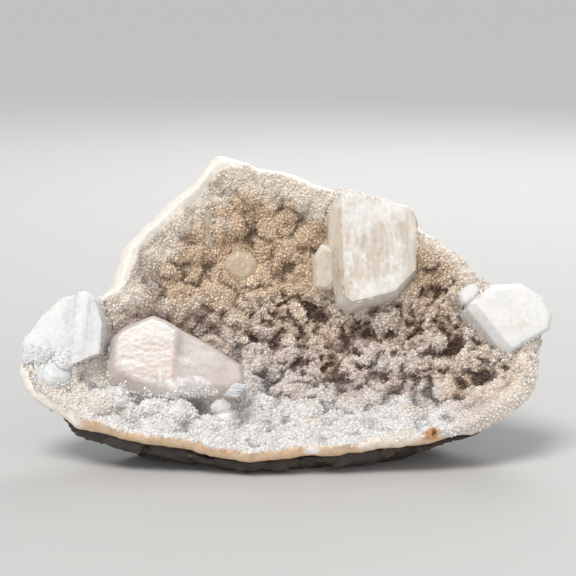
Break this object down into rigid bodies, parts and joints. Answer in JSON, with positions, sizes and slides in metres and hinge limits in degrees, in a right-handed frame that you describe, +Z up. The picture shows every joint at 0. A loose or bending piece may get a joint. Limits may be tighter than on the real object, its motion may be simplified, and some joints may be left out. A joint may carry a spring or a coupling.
{
  "type": "apophyllite and stilbite cluster",
  "caption": "Shard of a drusy basalt cavity with blocky clear apophyllite crystals and a blush-coloured stilbite, standing on its own rock.",
  "frame": {"origin": "middle of the cluster's bounding box in X and Y, on the level of the rock's flat foot", "axes": "+X runs along the cluster's length, to the right as seen from the open side; the crystals face -Y; +Z is up"},
  "size_m": [0.1468, 0.064, 0.0793],
  "materials": {
    "basalt": "rough dark grey-brown basalt with rusty and chalky specks",
    "druse": "fine sparkling quartz druse, white at the lip and tan up the wall, with a cream broken edge",
    "apophyllite": "colourless to faintly green, clear with milky veils, pearly lustre",
    "stilbite": "milky blush pink, translucent, pearly on its broad face"
  },
  "bodies": {
    "root": {"basalt_matrix": "basalt", "druse_crust": "druse", "apophyllite_upper": "apophyllite", "apophyllite_left": "apophyllite", "apophyllite_right": "apophyllite", "apophyllite_round": "apophyllite", "apophyllite_slim": "apophyllite", "stilbite_sheaf": "stilbite"}
  },
  "joints": []
}
